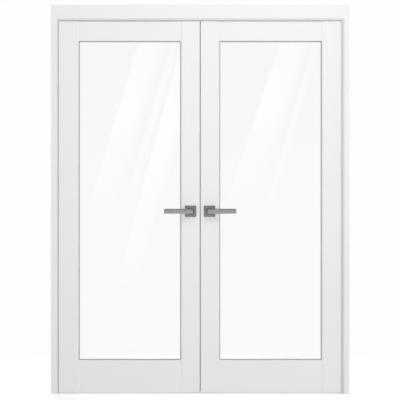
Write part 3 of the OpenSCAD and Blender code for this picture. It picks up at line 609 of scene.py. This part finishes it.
floor_paint, tree, place = new_material("pale_floor")
away = add(tree, "ShaderNodeVectorMath", {0: place}, operation="LENGTH")
fade = add(tree, "ShaderNodeMapRange",
           {"Value": away.outputs["Value"], "From Min": FADE_FROM, "From Max": FADE_TO},
           interpolation_type="SMOOTHSTEP")
paint = add(tree, "ShaderNodeBsdfDiffuse", {"Color": linear("#FAFAFA")})
ground = add(tree, "ShaderNodeEmission", {"Strength": GROUND_LEVEL})
shown = add(tree, "ShaderNodeMixShader",
            {0: fade.outputs[0], 1: paint.outputs[0], 2: ground.outputs[0]})
dull = add(tree, "ShaderNodeEmission", {"Strength": FLOOR_BOUNCE})
soft_ray = add(tree, "ShaderNodeLightPath").outputs["Is Diffuse Ray"]
mixed = add(tree, "ShaderNodeMixShader", {0: soft_ray, 1: shown.outputs[0], 2: dull.outputs[0]})
finish_material(tree, mixed)
wear(floor, floor_paint)
floor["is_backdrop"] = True

print("floor fades from", FADE_FROM, "to", FADE_TO, "m")

# %% Light the floor alone
LAMP_AWAY, LAMP_UP = 2.5, 3.4
LAMP_AIM = LAMP_AWAY / 8             # each is turned to the floor just before or behind the doors
LAMP_SIDE, LAMP_WATTS = 2.4, 88
only_floor = bpy.data.collections.new("only_floor")
only_floor.objects.link(floor)
for side, way in (("front", -1), ("back", 1)):
    lamp = softbox(f"{side}_floor_lamp", (0, way * LAMP_AWAY, LAMP_UP), (0, way * LAMP_AIM, 0),
                   LAMP_SIDE, LAMP_WATTS)
    lamp.light_linking.receiver_collection = only_floor
    print(lamp.name, LAMP_WATTS, "W")

# %% [markdown]
# ## Reflections in the glass
#
# Clear glass in front of a white ground is only seen by what it reflects. In a studio that is
# done with tall tilted light cards behind the camera: each shows in the panes as a slanting streak
# that starts sharp on one side and fades to the other. To place a card, the streak is first laid
# out on the pane, as shares of its width and height. The mirror image of the camera then tells
# where the card has to stand, because a ray that bounces off flat glass goes on as if it came from
# there. The cards are clear film that glows: where one gives no light, the room shows through it.

# %% Hang the light cards
BEHIND = 2.0                         # metres from the camera back to the cards
CARD_Y = camera.location.y - BEHIND


def behind_camera(point, pane_y):
    """Where a ray from the camera goes after the pane throws it back at point."""
    mirrored = Vector((camera.location.x, 2 * pane_y - camera.location.y, camera.location.z))
    ray = Vector(point) - mirrored
    return mirrored + ray * ((CARD_Y - mirrored.y) / ray.y)


# place on the card and level of light there, both as shares of one
FADE_ACROSS = ((0, 0), (0.05, 1), (0.6, 0.75), (1, 0))
SWELL_UP = ((0, 0), (0.3, 0.35), (0.62, 1), (1, 0.55))


def card_material(name, strength):
    """Light that starts at the card's left edge, fades to the right and swells up the card."""
    material, tree, _ = new_material(name)
    uv = add(tree, "ShaderNodeTexCoord").outputs["UV"]
    parts = add(tree, "ShaderNodeSeparateXYZ", {0: uv}).outputs
    across = add(tree, "ShaderNodeValToRGB", {"Fac": parts["X"]})
    up = add(tree, "ShaderNodeValToRGB", {"Fac": parts["Y"]})
    for ramp, stops in ((across, FADE_ACROSS), (up, SWELL_UP)):
        curve = ramp.color_ramp
        curve.interpolation = "EASE"
        while len(curve.elements) < len(stops):
            curve.elements.new(0.5)
        for element, (position, level) in zip(curve.elements, stops):
            element.position = position
            element.color = (level, level, level, 1)
    product = add(tree, "ShaderNodeMath", {0: across.outputs[0], 1: up.outputs[0]},
                  operation="MULTIPLY")
    power = add(tree, "ShaderNodeMath", {0: product.outputs[0], 1: strength}, operation="MULTIPLY")
    glow = add(tree, "ShaderNodeEmission", {"Strength": power.outputs[0]})
    clear = add(tree, "ShaderNodeBsdfTransparent")
    added = add(tree, "ShaderNodeAddShader", {0: glow.outputs[0], 1: clear.outputs[0]})
    finish_material(tree, added)
    return material


def light_card(name, leaf, foot, top, width, strength):
    """A card whose streak has its sharp edge from foot to top, as shares of the leaf's pane."""
    low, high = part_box(f"{leaf}_glass")
    corners = []
    for u, v in (foot, (foot[0] + width, foot[1]), (top[0] + width, top[1]), top):
        on_pane = (low.x + u * (high.x - low.x), low.y, low.z + v * (high.z - low.z))
        corners.append(behind_camera(on_pane, low.y))
    mesh = bpy.data.meshes.new(name)
    mesh.from_pydata(corners, [], [(0, 1, 2, 3)])
    layer = mesh.uv_layers.new(name="card")
    for loop, uv in zip(layer.data, ((0, 0), (1, 0), (1, 1), (0, 1))):
        loop.uv = uv
    card = add_piece(name, mesh)
    wear(card, card_material(name, strength))
    for ray in ("camera", "diffuse", "transmission", "shadow"):
        setattr(card, f"visible_{ray}", False)
    card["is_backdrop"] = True
    return card


# leaf, foot and top of the sharp edge and width, as shares of the pane, and strength of the light
STREAKS = (
    ("left", (-0.02, 0.35), (0.66, 1.08), 0.29, 1.35),
    ("left", (0.33, 0.36), (0.95, 1.05), 0.09, 0.75),
    ("left", (0.25, 0.10), (1.06, 1.08), 0.24, 1.30),
    ("right", (-0.03, 0.39), (0.68, 1.08), 0.32, 1.35),
    ("right", (0.22, 0.22), (0.95, 1.04), 0.08, 0.60),
)
for number, (leaf, foot, top, width, strength) in enumerate(STREAKS):
    light_card(f"light_card_{number}", leaf, foot, top, width, strength)
print(len(STREAKS), "light cards at y", round(CARD_Y, 2))

# %% [markdown]
# ## Print the sizes
#
# The added pieces have to stay inside the joiner's box, so both boxes are printed side by side.

# %% Print the sizes
look_low, look_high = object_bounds()
look_size = look_high - look_low
print("joiner's box", [round(v, 4) for v in size], "pictured", [round(v, 4) for v in look_size])
